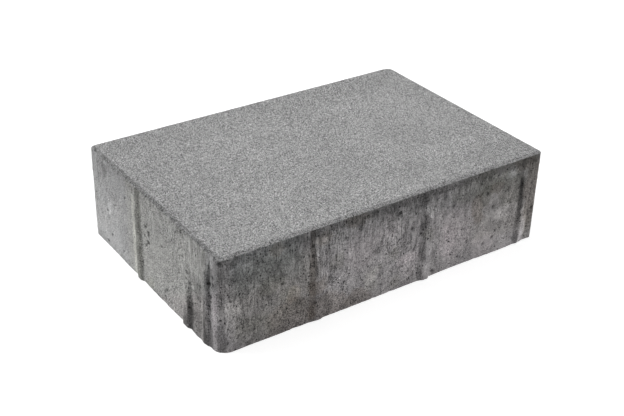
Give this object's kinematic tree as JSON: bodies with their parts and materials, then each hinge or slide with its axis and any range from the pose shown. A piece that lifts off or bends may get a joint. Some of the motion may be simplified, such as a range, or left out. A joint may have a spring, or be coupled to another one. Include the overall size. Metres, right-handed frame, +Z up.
{
  "type": "concrete paving stone",
  "caption": "Rectangular grey concrete paving stone with a fine-grained bevelled wearing face, rough cast sides and low upright spacer ribs.",
  "frame": {"origin": "middle of the underside, on the surface that the stone lies on", "axes": "+X along the long side, +Y along the short side, +Z up out of the wearing face"},
  "size_m": [0.302, 0.202, 0.08],
  "materials": {
    "concrete": "matt, fine-grained wearing face and rough cast sides"
  },
  "bodies": {
    "root": {"paving_stone": "concrete"}
  },
  "joints": []
}
